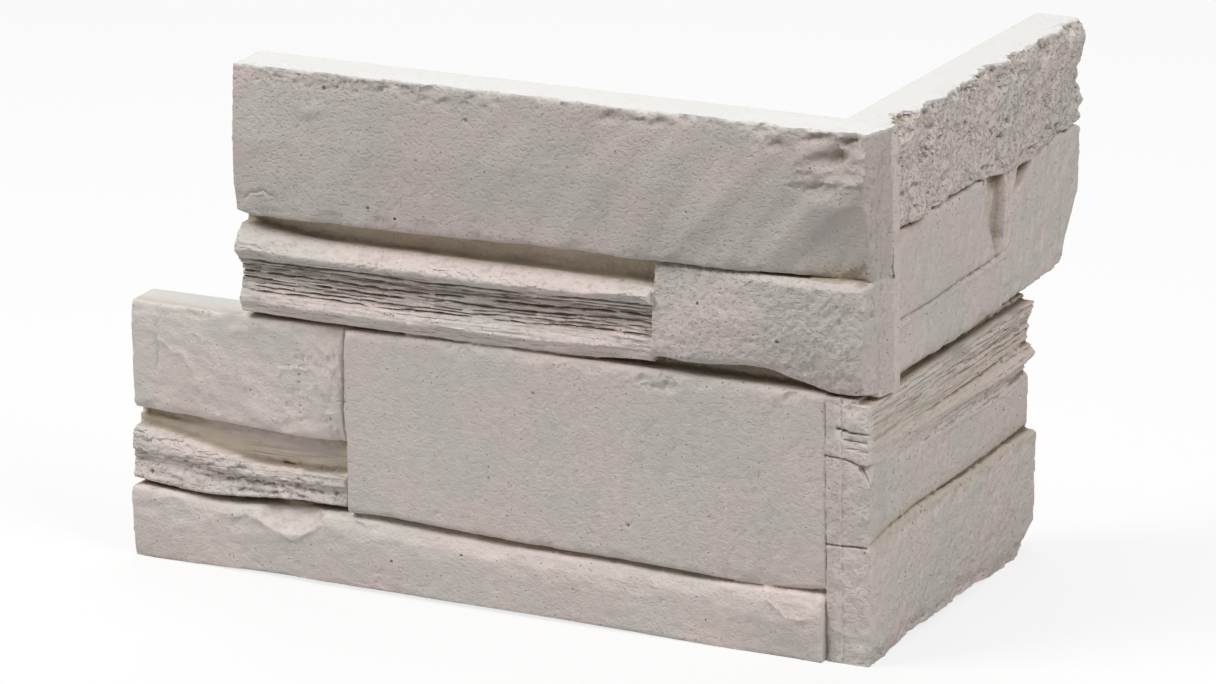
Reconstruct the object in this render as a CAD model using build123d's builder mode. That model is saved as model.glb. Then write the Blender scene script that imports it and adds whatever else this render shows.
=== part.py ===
from build123d import *
from math import pi, sin
import os

# Stone cladding corner piece: one casting that turns the outer corner of a clad wall.
# The origin is the wall's own corner at the foot of the casting. The long leg runs along -X
# and shows its stones towards -Y, the short leg runs along +Y and shows them towards +X,
# and +Z is up. The wall itself fills the quarter where X is below 0 and Y is above 0.

# Driving dimensions, in millimetres
course_height = 100.0      # one course of stones, joint to joint
base_reach = 2.0           # how far the bottom stones reach below the lower course's line
backing = 12.5             # thickness of the backing that carries the stones
upper_long = 245.0         # long leg, upper course
lower_long = 296.0         # long leg, lower course
upper_short = 171.0        # short leg, upper course
lower_short = 131.0        # short leg, lower course
corner_reach = 21.0        # how far the upper course's corner stones stand past the wall's corner
corner_bevel = 4.5         # how far their end face leans back towards the front
centre_rise = 2.0          # how far the centre block may stand above the lower course's line
joint = 0.8                # open joint between two stones
side_groove = 2.0          # open groove between the courses on the short leg
far_rise = 4.0             # how much higher the short leg's overhang starts than its course
rooting = 6.0              # how deep a stone is rooted in the backing
face_wave = 0.4            # how much a riven face wanders in and out between its measured rows
arris = 1.6                # rounding of a worn stone edge

# Depths of the stones' faces from the wall
block_depth = 20.5
rough_depth = 22.5
riven_depth = 17.3
foot_depth = 23.2
column_depth = 17.7
pitted_depth = 19.0
side_depth = 17.6
thin_depth = 14.3

# Heights of the joints between the stones, from the foot
lower_top = base_reach + course_height
top = lower_top + course_height
foot_top = 27.0            # long leg: bottom strip below the centre block
strip_foot = 28.5          # long leg: layered strip between two recesses
strip_top = 49.0
riven_foot = 57.5          # long leg: riven block on the left
rough_foot = 106.5         # long leg: rough corner block
rough_top = 145.0
ledge_foot = 104.5         # long leg: laminated ledge
ledge_top = 139.5
block_foot = 145.0         # long leg: top block
side_foot_top = 46.0       # short leg: bottom block
plain_top = 72.0           # short leg: plain block under the laminated band
band_top = 100.5           # short leg: laminated band
low_side_top = 124.5       # short leg: lower stone of the upper course
pitted_foot = 160.5        # short leg: pitted top stone

# Places of the upright joints along the legs
centre_joint = -200.7      # lower course, long leg
ledge_end = -70.0          # upper course, long leg
side_joint = 99.0          # upper course, short leg

recess_span = 36.0         # height of the stone beside the recesses, as their outlines were measured

LONG = "long"
SHORT = "short"
OVERRUN = 4.0              # stones run past the casting's sides and are trimmed flush
FLAT = (0.0,)
WORN = (1.0,)


def across(leg, run):
    """The plane across a leg: its X is the depth from the wall and its Y is the height."""
    if leg == LONG:
        return Plane(origin=(run, 0, 0), x_dir=(0, -1, 0), z_dir=(-1, 0, 0))
    return Plane(origin=(0, run, 0), x_dir=(1, 0, 0), z_dir=(0, -1, 0))


def facing(leg, depth):
    """The plane of a leg's face at a depth: its X is the run along the leg and its Y the height."""
    if leg == LONG:
        return Plane(origin=(0, -depth, 0), x_dir=(1, 0, 0), z_dir=(0, -1, 0))
    return Plane(origin=(depth, 0, 0), x_dir=(0, 1, 0), z_dir=(1, 0, 0))


def along(line, share):
    """The value of a measured line at a share of its length; its values lie evenly spaced."""
    if len(line) == 1:
        return line[0]
    place = share * (len(line) - 1)
    index = min(int(place), len(line) - 2)
    return line[index] + (line[index + 1] - line[index]) * (place - index)


def wander(run, seed, length=90.0):
    """A slow irregular wave between -1 and 1 along a leg."""
    turn = 2 * pi * run / length
    return 0.6 * sin(turn + seed) + 0.4 * sin(2.3 * turn + 1.7 * seed)


def bite(place, outward, radius, depth):
    """A ball that takes a shell-shaped chip of a given depth out of a stone's edge."""
    return Pos(Vector(*place) + Vector(*outward).normalized() * (radius - depth)) * Sphere(radius)


def level(rise):
    """A height in the short leg's upper stones: a measured rise, scaled to their own height."""
    return low_side_top + rise * (pitted_foot - low_side_top) / recess_span


def hollow(leg, outline, floor):
    """A prism that hollows a stone down to a depth inside an outline of runs and heights."""
    with BuildPart() as space:
        with BuildSketch(facing(leg, floor)):
            with BuildLine():
                Polyline(*outline, close=True)
            make_face()
        extrude(amount=2 * pitted_depth)
    return space.part


def stone(leg, start, end, foot, head, depth, seed, foot_line=FLAT, head_line=FLAT,
          foot_face=FLAT, middle_face=FLAT, head_face=FLAT, foot_wear=WORN, head_wear=WORN,
          count=6, chips=()):
    """A stone with a riven face: worn outlines lofted along the leg, rooted in the backing.

    The foot and head lines say how far the stone's lower and upper edges stray from its own
    foot and head along its length, and the three face lines how far its face stands proud of
    its depth at the foot, the middle and the head. Wear multiplies the rounding of an edge.
    """
    with BuildPart() as block:
        for index in range(count):
            share = index / (count - 1)
            run = start + (end - start) * share
            low = foot + along(foot_line, share)
            high = head + along(head_line, share)
            bulge = [
                depth + along(face, share) + face_wave * wander(run, seed + row)
                for row, face in enumerate((foot_face, middle_face, head_face))
            ]
            low_arris = arris * along(foot_wear, share)
            high_arris = arris * along(head_wear, share)
            with BuildSketch(across(leg, run)):
                with BuildLine():
                    Polyline(
                        (backing - rooting, low),
                        (bulge[0] - low_arris, low),
                        (bulge[0] - 0.3 * low_arris, low + 0.3 * low_arris),
                        (bulge[0], low + low_arris),
                        (bulge[1], (low + high) / 2),
                        (bulge[2], high - high_arris),
                        (bulge[2] - 0.3 * high_arris, high - 0.3 * high_arris),
                        (bulge[2] - high_arris, high),
                        (backing - rooting, high),
                        close=True,
                    )
                make_face()
        loft()
        add(chips, mode=Mode.SUBTRACT)
    return block.part


def laminated(leg, start, end, foot, head, profiles, seed, foot_line=FLAT, head_line=FLAT,
              count=7):
    """A band of thin layers: stepped outlines lofted along the leg, rooted in the backing.

    Each profile gives its layers' edges as a depth and a share of the band's height. The
    profiles lie evenly spaced, and the outlines between them are blended.
    """
    with BuildPart() as band:
        for index in range(count):
            share = index / (count - 1)
            run = start + (end - start) * share
            low = foot + along(foot_line, share)
            high = head + along(head_line, share)
            edges = []
            for level in range(len(profiles[0])):
                depth = along([profile[level][0] for profile in profiles], share)
                rise = along([profile[level][1] for profile in profiles], share)
                depth += 0.5 * face_wave * wander(run, seed + level)
                edges.append((depth, low + rise * (high - low)))
            with BuildSketch(across(leg, run)):
                with BuildLine():
                    Polyline(
                        (backing - rooting, edges[0][1]),
                        *edges,
                        (backing - rooting, edges[-1][1]),
                        close=True,
                    )
                make_face()
        loft()
    return band.part


# Layer edges of the laminated ledge from its foot to its head, at its left end, for most of
# its length, and where it meets the rough block
ledge_left = [
    (16.8, -0.02),
    (19.1, 0.01),
    (20.4, 0.07),
    (21.8, 0.14),
    (20.9, 0.21),
    (19.2, 0.29),
    (18.6, 0.40),
    (18.7, 0.53),
    (20.1, 0.585),
    (22.3, 0.64),
    (24.4, 0.70),
    (24.7, 0.75),
    (23.0, 0.815),
    (20.6, 0.90),
    (17.7, 0.98),
]
ledge_middle = [
    (16.8, -0.03),
    (19.0, 0.00),
    (20.6, 0.06),
    (22.0, 0.14),
    (21.2, 0.22),
    (19.4, 0.30),
    (18.8, 0.40),
    (18.9, 0.53),
    (20.1, 0.59),
    (22.2, 0.65),
    (24.0, 0.70),
    (24.2, 0.74),
    (22.3, 0.79),
    (19.4, 0.84),
    (15.6, 0.88),
]
ledge_right = [
    (16.8, 0.03),
    (19.1, 0.06),
    (20.6, 0.12),
    (21.9, 0.20),
    (21.2, 0.28),
    (19.3, 0.36),
    (18.6, 0.46),
    (18.9, 0.60),
    (20.1, 0.66),
    (22.2, 0.71),
    (24.0, 0.755),
    (24.2, 0.79),
    (22.3, 0.82),
    (19.4, 0.855),
    (15.6, 0.885),
]

# Layer edges of the thin strip between the two recesses
strip_layers = [
    (13.5, 0.0),
    (17.6, 0.03),
    (19.3, 0.10),
    (18.4, 0.20),
    (18.2, 0.31),
    (17.2, 0.40),
    (17.9, 0.53),
    (19.2, 0.66),
    (19.0, 0.77),
    (18.1, 0.88),
    (17.0, 0.96),
    (14.5, 1.0),
]

# Layer edges of the short leg's laminated band, flush at the front and stepped at the far end
band_front = [
    (17.2, 0.0),
    (17.6, 0.05),
    (17.7, 0.13),
    (17.5, 0.22),
    (17.8, 0.30),
    (17.4, 0.40),
    (17.2, 0.43),
    (17.5, 0.58),
    (17.3, 0.66),
    (17.2, 0.74),
    (17.5, 0.82),
    (17.6, 0.90),
    (17.2, 0.98),
]
band_end = [
    (14.3, 0.0),
    (12.6, 0.05),
    (13.1, 0.13),
    (15.6, 0.22),
    (18.1, 0.30),
    (16.0, 0.40),
    (14.3, 0.43),
    (14.3, 0.58),
    (15.1, 0.62),
    (14.7, 0.71),
    (15.9, 0.78),
    (17.2, 0.90),
    (17.4, 0.98),
]

# How far the joints stray from level along the legs
centre_foot_line = (2.3, 1.7, 0.3, -0.3, -1.8, -0.1)
side_foot_line = (-0.7, 2.6, 2.6, 2.3, 2.1, 2.2)
plain_line = (6.8, 1.2, -0.6, -2.2, -3.8, -0.6)

left_end = -lower_long - OVERRUN
upper_left = -upper_long - OVERRUN
corner_end = corner_reach + OVERRUN

# The broken upper edge and the spalled corner of the top block. Each chip has its place along
# the leg, how far below the top and how steeply it cuts in, and its radius and depth
block_breaks = [
    (-177.0, 0.0, 1.0, 8.0, 2.8),
    (-141.0, 0.0, 1.0, 14.0, 2.8),
    (-75.0, 0.0, 1.0, 20.0, 2.2),
    (-25.0, 3.0, 0.7, 20.0, 1.6),
    (2.0, 10.0, 0.2, 60.0, 1.5),
]
block_chips = [
    bite((run, -block_depth, top - drop), (0, -1, lean), radius, depth)
    for run, drop, lean, radius, depth in block_breaks
]

# Other chips: the rough block's corner, a notch in the bottom strip, the plain block's corner
# beside the front, and the far corners of the short leg's upper course and foot
rough_chip = bite((corner_reach - 1.0, -block_depth, rough_top), (1, -1, 1), 12.0, 2.5)
strip_notch = bite((-lower_long + 69.0, 2.0 - foot_depth, foot_top - 2.0), (0, -1, 1.1), 24.0, 4.4)
plain_chip = bite((column_depth, -block_depth, plain_top + 4.0), (1, -1, 0.6), 14.0, 3.5)
far_corner = bite((side_depth, upper_short, lower_top), (0.94, 0.31, -0.13), 200.0, 6.8)
foot_corner = bite((column_depth, lower_short, 0), (0.7, 0.6, -0.7), 24.0, 9.0)

# Open recesses between the short leg's upper stones, and the uneven foot of its overhang
side_recess = hollow(
    SHORT,
    [
        (side_joint - 13.0, pitted_foot),
        (side_joint - 14.0, level(19.0)),
        (side_joint - 5.0, level(1.5)),
        (side_joint, level(7.5)),
        (side_joint + 2.8, level(22.5)),
        (side_joint + 4.5, pitted_foot),
    ],
    backing,
)
slanted_recess = hollow(
    SHORT,
    [
        (side_joint + 9.0, level(22.5)),
        (side_joint + 22.0, level(26.0)),
        (side_joint + 29.5, level(31.5)),
        (side_joint + 31.0, pitted_foot),
        (side_joint + 20.0, pitted_foot),
    ],
    backing,
)
overhang_foot = hollow(
    SHORT,
    [
        (lower_short - 12.0, lower_top),
        (lower_short + 8.0, lower_top + far_rise),
        (upper_short + OVERRUN, lower_top + far_rise),
        (upper_short + OVERRUN, lower_top),
    ],
    -OVERRUN,
)

lower_stones = [
    # Long leg
    stone(LONG, left_end, -joint / 2, -OVERRUN, foot_top, foot_depth, 1,
          head_line=(0.6, -0.4, 1.0, 2.2, 1.0, 0.3, -0.4, -1.6, -1.0),
          head_face=(0.6, 0.2, 0.0, -0.4, -0.3, 0.0, 0.0, -0.2, -0.4),
          head_wear=(1.3, 2.3, 3.0, 3.6, 4.3, 4.3, 4.0, 3.3, 4.2), count=9,
          chips=[strip_notch]),
    stone(LONG, centre_joint + joint / 2, -joint / 2, foot_top + joint, lower_top,
          block_depth, 2, foot_line=centre_foot_line,
          head_line=(-0.2, 1.0, 1.4, 1.2, 1.0, 0.5),
          foot_face=(0.6, 0.8, 1.0, 0.9, 0.6, 0.0),
          head_face=(-0.6, -0.4, 0.0, 0.2, 0.0, -0.2)),
    stone(LONG, left_end, centre_joint - joint / 2, riven_foot, lower_top, riven_depth, 3,
          foot_line=(1.0, 0.6, 0.0, -0.8, -1.2, -0.7),
          foot_face=(-0.2, 0.3, -0.6, 0.6, 0.4, 0.0),
          middle_face=(0.4, 0.9, 1.3, 0.2, 0.5, 0.2),
          head_face=(-0.8, -0.2, 0.5, 0.9, 1.2, 0.0),
          foot_wear=(1.4, 1.0, 1.0, 1.2, 1.0, 1.0)),
    laminated(LONG, left_end, centre_joint - 2 * joint, strip_foot, strip_top,
              [strip_layers], 4, foot_line=(2.0, 0.3, -0.9, 1.3, 2.5, 2.4),
              head_line=(2.7, 1.3, -3.0, -6.0, -6.3, -4.8)),
    # Short leg, whose stones show their ends beside the long leg's
    stone(SHORT, -block_depth, lower_short + OVERRUN, -OVERRUN, side_foot_top, column_depth, 8,
          head_line=side_foot_line, foot_face=(0.0, -0.3, -0.6, -0.9, -1.2, -2.0),
          chips=[foot_corner]),
    stone(SHORT, -block_depth, lower_short + OVERRUN, side_foot_top + joint, plain_top,
          thin_depth, 9, foot_line=side_foot_line, head_line=plain_line,
          foot_face=(3.4, 2.8, 2.0, 1.3, 0.6, 0.2), middle_face=(3.2, 2.6, 1.8, 1.2, 0.6, 0.0),
          head_face=(3.4, 2.4, 1.4, 0.9, 0.4, 0.0), chips=[plain_chip]),
    # The laminated band is cast onto the block below it, with no open joint
    laminated(SHORT, -block_depth, lower_short + OVERRUN, plain_top - joint, band_top,
              [band_front, band_end], 10, foot_line=plain_line),
]

upper_stones = [
    # Long leg, whose stones show their ends beside the short leg's
    stone(LONG, upper_left, corner_end, block_foot, top + arris, block_depth, 5,
          foot_line=(0.5, -1.5, -1.5, -0.7, 0.2, 0.1, 0.5, 1.0, 1.5),
          foot_face=(1.1, 0.8, 0.3, 0.0, 0.2, 0.4, 0.0, 0.0, 0.3),
          middle_face=(1.3, 0.9, 0.2, 0.0, 0.3, 0.6, 0.2, -0.2, 0.2),
          head_face=(0.4, -1.0, -1.9, -2.5, -2.0, -1.5, -1.0, -0.4, 0.0),
          head_wear=(0.9, 1.1, 1.3, 1.2, 1.2, 1.1, 1.0, 0.9, 0.9), count=9,
          chips=block_chips),
    laminated(LONG, upper_left, ledge_end - joint / 2, ledge_foot, ledge_top,
              [ledge_left, ledge_middle, ledge_middle, ledge_middle, ledge_right], 6, count=9),
    stone(LONG, ledge_end + joint / 2, corner_end, rough_foot, rough_top, rough_depth, 7,
          foot_line=(1.4, 1.8, 2.4, 3.3, 0.9, -2.8, -3.2, -1.5),
          foot_face=(-0.8, 0.2, 0.6, 0.3, -0.5, -1.0, -1.2, -1.6),
          middle_face=(-1.6, -0.6, 0.3, 0.3, 0.6, 0.2, 0.0, -0.6),
          head_face=(-4.5, -4.0, -3.0, -1.6, -0.6, 0.0, -0.6, -1.0),
          foot_wear=(1.6, 2.0, 2.4), count=8, chips=[rough_chip]),
    # Short leg
    stone(SHORT, joint, side_joint, lower_top + side_groove, low_side_top, side_depth, 11,
          head_line=(0.0, 0.2, 0.4, 0.8, 1.8), foot_wear=(1.6, 1.2)),
    stone(SHORT, joint, side_joint, low_side_top + joint, pitted_foot - joint, side_depth, 12,
          foot_line=(0.0, 0.2, 0.4, 0.8, 1.8), chips=[side_recess]),
    stone(SHORT, side_joint + joint, upper_short + OVERRUN, lower_top + side_groove,
          pitted_foot - joint, side_depth, 13, foot_line=(1.8, 2.6, 3.2, 3.2),
          foot_wear=(1.0, 1.4), chips=[side_recess, slanted_recess]),
    stone(SHORT, joint, upper_short + OVERRUN, pitted_foot, top + arris, pitted_depth, 14,
          foot_line=(0.4, 0.0, 0.8, 1.4, -1.0, -3.3, -2.4, -0.3, 1.4),
          head_wear=(1.6, 2.4, 1.8, 2.6, 2.0, 2.8, 2.2, 2.6, 2.0), count=9),
]

# Lower course: its short leg's end stands out to the front, and the centre block's head
# stands a little above the course's line
with BuildPart() as lower_course:
    with BuildSketch(Plane.XY):
        with BuildLine():
            Polyline(
                (0, 0),
                (-lower_long, 0),
                (-lower_long, -backing),
                (0, -backing),
                (0, -block_depth + joint),
                (backing, -block_depth + joint),
                (backing, lower_short),
                (0, lower_short),
                close=True,
            )
        make_face()
    extrude(amount=lower_top)
    add(lower_stones)
    # The mould's sides trim the stones flush at the legs' ends and the foot
    with BuildSketch(Plane.XY):
        with BuildLine():
            Polyline(
                (0, 0),
                (-lower_long, 0),
                (-lower_long, -2 * rough_depth),
                (2 * corner_reach, -2 * rough_depth),
                (2 * corner_reach, lower_short),
                (0, lower_short),
                close=True,
            )
        make_face()
    extrude(amount=lower_top + centre_rise, mode=Mode.INTERSECT)

# Upper course: its long leg's end stands out to the side and leans back to the front
with BuildPart() as upper_course:
    with BuildSketch(Plane.XY.offset(lower_top)):
        with BuildLine():
            Polyline(
                (0, 0),
                (-upper_long, 0),
                (-upper_long, -backing),
                (corner_reach, -backing),
                (corner_reach, 0),
                (backing, 0),
                (backing, upper_short),
                (0, upper_short),
                close=True,
            )
        make_face()
    extrude(amount=course_height)
    add(upper_stones)
    with BuildSketch(Plane.XY.offset(lower_top)):
        with BuildLine():
            Polyline(
                (0, 0),
                (-upper_long, 0),
                (-upper_long, -2 * rough_depth),
                (corner_reach - 2 * corner_bevel, -2 * rough_depth),
                (corner_reach, 0),
                (2 * corner_reach, 0),
                (2 * corner_reach, upper_short),
                (0, upper_short),
                close=True,
            )
        make_face()
    extrude(amount=course_height, mode=Mode.INTERSECT)
    add([far_corner, overhang_foot], mode=Mode.SUBTRACT)

with BuildPart() as corner_piece:
    add(lower_course.part)
    add(upper_course.part)

corner_piece.part.label = "corner_piece"

os.makedirs("parts", exist_ok=True)
export_step(corner_piece.part, "parts/corner_piece.step")
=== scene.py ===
import math
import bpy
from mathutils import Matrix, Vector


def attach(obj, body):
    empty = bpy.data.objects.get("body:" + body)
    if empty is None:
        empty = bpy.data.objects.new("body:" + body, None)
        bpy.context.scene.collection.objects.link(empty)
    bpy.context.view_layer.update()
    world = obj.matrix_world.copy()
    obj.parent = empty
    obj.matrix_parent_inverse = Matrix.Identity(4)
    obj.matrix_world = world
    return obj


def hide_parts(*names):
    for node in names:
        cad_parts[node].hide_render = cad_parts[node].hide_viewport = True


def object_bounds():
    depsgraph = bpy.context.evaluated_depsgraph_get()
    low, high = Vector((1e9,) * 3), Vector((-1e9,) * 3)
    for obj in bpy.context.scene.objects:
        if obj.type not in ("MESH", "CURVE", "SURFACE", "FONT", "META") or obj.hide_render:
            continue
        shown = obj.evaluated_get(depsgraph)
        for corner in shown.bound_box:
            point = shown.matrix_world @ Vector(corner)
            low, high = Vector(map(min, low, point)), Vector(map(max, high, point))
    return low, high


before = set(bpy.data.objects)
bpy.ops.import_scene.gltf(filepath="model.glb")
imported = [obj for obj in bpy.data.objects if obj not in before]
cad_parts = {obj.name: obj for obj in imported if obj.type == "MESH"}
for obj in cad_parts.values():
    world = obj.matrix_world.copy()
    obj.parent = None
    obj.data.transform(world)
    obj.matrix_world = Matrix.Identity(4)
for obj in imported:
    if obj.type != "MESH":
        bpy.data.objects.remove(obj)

from types import SimpleNamespace

import bpy
import numpy as np
from bpy.props import FloatProperty, FloatVectorProperty, IntProperty, PointerProperty
from mathutils import Matrix, Vector

bl_info = {
    "name": "Stone Cladding Corner",
    "version": (1, 0, 0),
    "blender": (4, 5, 0),
    "location": "View3D > Sidebar > Cladding",
    "description": "Dresses the cast corner piece of a stone-clad wall and sets it in a plain studio",
    "category": "Object",
}

NODE = "corner_piece"
CAD_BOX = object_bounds()
MM = 0.001

# Relief is worked out in millimetres, in the frame's own axes: the long leg runs along -X with
# its stones towards -Y, and the short leg along +Y with its stones towards +X. A place on a
# leg is its run along the leg and its height

# Borders between the stones, along the middle of their joints, as runs and heights
BLOCK_FOOT = [
    (-245, 142.5), (-180, 141.8), (-112, 143.6), (-71, 144.0), (-69, 145.0), (-43, 145.2),
    (-9, 145.6), (25, 146.0),
]
COURSE_LINE = [
    (-245, 103.4), (-71, 103.9), (-69, 105.2), (-30, 106.0), (-16, 105.0), (-4, 103.0), (25, 102.6),
]
RIVEN_FOOT = [(-296, 55.6), (-258, 52.5), (-201, 50.5)]
STRIP_HEAD = [
    (-296, 52.0), (-276, 49.8), (-259, 45.5), (-241, 42.5), (-226, 42.6), (-211, 43.9), (-203, 44.5),
]
FOOT_HEAD = [
    (-296, 28.9), (-262, 27.1), (-240, 28.7), (-201, 29.8), (-155, 28.8), (-115, 27.8),
    (-77, 27.1), (-40, 25.7), (0, 26.8),
]
PITTED_FOOT = [
    (0, 160.4), (22, 160.1), (66, 161.3), (88, 159.3), (110, 157.2), (131, 158.0), (171, 160.8),
]
SIDE_LINE = [(-21, 102.2), (0, 102.8), (100, 103.0), (131, 103.8), (171, 103.8)]
BAND_FOOT = [(-20.5, 78.8), (10.6, 73.2), (41.7, 71.4), (104, 68.2), (131, 70.9)]
SIDE_FOOT_HEAD = [(-20.5, 45.7), (10.6, 49.0), (41.7, 49.0), (131, 48.5)]

# Heights beyond the piece's head and foot, for the stones that reach them
ABOVE = 210
BELOW = -5

# The stones, each as its left and right run, its foot and its head. Where a stone reaches an
# end of the piece, its area goes on past it. The lower stones of the short leg also cover
# their ends beside the long leg
TOP_BLOCK = (-300, 30, BLOCK_FOOT, ABOVE)
LEDGE = (-300, -70, COURSE_LINE, BLOCK_FOOT)
ROUGH_BLOCK = (-70, 30, COURSE_LINE, BLOCK_FOOT)
RIVEN_BLOCK = (-300, -200.7, RIVEN_FOOT, COURSE_LINE)
STRIP = (-300, -200.7, FOOT_HEAD, RIVEN_FOOT)
CENTRE_BLOCK = (-200.7, -0.2, FOOT_HEAD, COURSE_LINE)
FOOT_STRIP = (-300, -0.2, BELOW, FOOT_HEAD)
COLUMN = (-0.2, 30, BELOW, COURSE_LINE)
PITTED_STONE = (0, 180, PITTED_FOOT, ABOVE)
SIDE_PLAIN = (0, 99.4, SIDE_LINE, PITTED_FOOT)
SIDE_ROUGH = (99.4, 180, SIDE_LINE, PITTED_FOOT)
BLOCK_END = (-30, 0, SIDE_LINE, ABOVE)
BAND = (-30, 140, BAND_FOOT, SIDE_LINE)
SIDE_BLOCK = (-30, 140, SIDE_FOOT_HEAD, BAND_FOOT)
SIDE_FOOT = (-30, 140, BELOW, SIDE_FOOT_HEAD)

# Broken spots in the top block's and the centre block's edges: run, height, reach along, reach up
BLOCK_BREAKS = (
    (-177.6, 199, 5, 3), (-160.7, 199, 6, 4), (-139.7, 199, 9, 4), (-112, 201, 6, 2),
    (-75, 200, 14, 3), (-48, 201, 6, 2), (-25, 197, 7, 5),
)
CENTRE_BREAKS = ((-150, 102, 8, 2), (-69, 99.5, 6, 3.5), (-20, 101, 7, 2))

# Lens-shaped flakes that broke off the top block's right end: run, height, radius and depth
SPALL_LENSES = (
    (-3, 198.5, 2.4, 1.7), (11.5, 198.3, 2.6, 2.2), (3, 191.0, 4.4, 2.3), (12, 186.0, 3.2, 1.8),
)

# Cracks of the laminated ledge and of the short leg's band from the top down, as height, half
# width and depth, and how much higher the ledge's run near the corner than at the free end
LEDGE_RISE = 2.6
LEDGE_CRACKS = (
    (125.6, 0.55, 1.3), (123.8, 0.35, 0.7), (122.4, 0.35, 0.8), (120.6, 0.7, 1.9),
    (119.3, 0.35, 0.8), (117.9, 0.65, 1.7), (116.4, 0.45, 1.1), (115.0, 0.45, 1.2),
    (113.5, 0.6, 1.5), (109.4, 0.35, 0.6), (106.4, 0.5, 1.1),
)
BAND_CRACKS = (
    (98.4, 0.5, 0.9), (96.3, 0.35, 0.7), (94.2, 0.5, 1.1), (91.5, 0.35, 0.8), (88.9, 0.5, 1.0),
    (86.2, 0.35, 0.7), (83.0, 0.4, 0.8), (79.5, 0.35, 0.6),
)

# Ridges of the riven block, edges of the chips in the bottom strip's head, and the middle,
# reaches and depth of the hollow in that head which the relief fills
RIVEN_RIDGES = (
    [(-269, 92.5), (-264, 90)],
    [(-246, 77), (-244, 72.5), (-243, 69)],
    [(-215, 98), (-211, 93), (-208, 85), (-206, 76)],
    [(-232, 80), (-226, 84), (-219, 83)],
)
V_CHIP = [(-238.5, 26), (-236, 24), (-225.7, 16.9), (-222.6, 16.5), (-216, 21), (-214.5, 24)]
RIGHT_CHIP = [(-23, 22.5), (-20, 19.5), (-14, 16.4), (-10, 15.8), (-6, 16.5)]
FILL_MIDDLE = (-226, 26.0)
FILL_REACH = (8.5, 6.0)
FILL_DEPTH = 3.4

# The solid's end stones lie this much deeper up to this run, and the relief fills that
COLUMN_STEP = 0.8
COLUMN_STEP_END = 6.5

# Areas with fine layers, and areas whose pits and cracks hold brown dust, each with its share
LONG_LAYERED = (
    ((-250, -71, 113, 128), 0.7), ((-250, -71, 103, 112), 0.3), ((-300, -203, 36, 50), 0.45),
)
LONG_STAINED = (
    ((-250, -70, 103, 129), 0.8), ((-300, -203, 27, 45), 0.8), ((-226, -201, 55, 103), 0.5),
    ((-1, 12, 86, 104), 0.9), ((-70, 22, 103, 110), 0.7), ((-300, 22, 0, 202), 0.3),
)
SHORT_LAYERED = (((-22, 140, 84, 101), 0.55),)
SHORT_STAINED = (((-1, 180, 155, 202), 1.0), ((-1, 140, 0, 106), 1.0), ((-22, 180, 0, 202), 0.5))

# Cream paste smeared beside the short leg's joints and on its band: line, share and reach
SHORT_CREAM = (
    (SIDE_FOOT_HEAD, 0.6, 7.0), ([(-10, 88), (60, 84), (131, 88)], 0.4, 16.0),
    ([(0, 103), (131, 103)], 0.6, 6.0), ([(0, 160), (25, 160)], 0.6, 5.0),
)

# Painted light and shade for each stone beside the next ones, standing in for how each face
# tilts to the lamps: the top block is painted darker towards the corner, and the ledge's lower
# part paler than its middle
LONG_PAINTED_SHADES = (
    (TOP_BLOCK, 0.85), ((-190, 30, BLOCK_FOOT, ABOVE), 0.81), ((-8, 30, BLOCK_FOOT, ABOVE), 0.77),
    (LEDGE, 0.97), ((-300, -70, COURSE_LINE, 113), 1.08), (ROUGH_BLOCK, 0.88),
    (RIVEN_BLOCK, 1.05), (FOOT_STRIP, 1.03), (CENTRE_BLOCK, 0.96), (COLUMN, 0.95),
)
SHORT_PAINTED_SHADES = ((PITTED_STONE, 0.98), (SIDE_PLAIN, 0.97), (BAND, 1.06), (SIDE_FOOT, 1.04))

# How pecked each stone's skin is, from 0 to 1
LONG_ROUGH = (
    (TOP_BLOCK, 0.35), (LEDGE, 0.4), (ROUGH_BLOCK, 0.5), (RIVEN_BLOCK, 0.15),
    ((-300, -200.7, FOOT_HEAD, STRIP_HEAD), 0.6), (CENTRE_BLOCK, 0.15), (FOOT_STRIP, 0.15),
    (COLUMN, 0.35),
)
SHORT_ROUGH = (
    (PITTED_STONE, 1.0), ((0, 180, SIDE_LINE, PITTED_FOOT), 0.3), (BLOCK_END, 0.35),
    ((-30, 140, BELOW, SIDE_LINE), 0.4),
)

# Air bubbles that show in the faces: run, height and radius, and their depth for a radius of 1
BUBBLE_DEPTH = 2.2
BLOCK_PINHOLES = (
    (-206.9, 196.0, 1.0), (-146.9, 190.2, 0.7), (-188.5, 151.9, 0.7), (-177.1, 149.0, 0.7),
)
ROUGH_PINHOLES = ((-17.7, 121.5, 0.8), (-51.0, 131.5, 0.7))
CENTRE_PINHOLES = ((-80.7, 41.7, 0.7), (-120.0, 88.0, 0.6))
FOOT_PINHOLES = ((-150.8, 20.5, 0.7), (-181.0, 14.0, 0.6))


def rgb(code):
    """A colour written as sRGB hex, turned linear."""
    parts = [int(code[i:i + 2], 16) / 255 for i in (1, 3, 5)]
    return tuple(p / 12.92 if p <= 0.04045 else ((p + 0.055) / 1.055) ** 2.4 for p in parts)


def smoothstep(low, high, value):
    """0 below low, 1 above high, and a smooth rise between them."""
    share = np.clip((value - low) / (high - low), 0.0, 1.0)
    return share * share * (3.0 - 2.0 * share)


# Plain noise of this kind stays within about 0.6
NOISE_GAIN = 1.7


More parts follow.
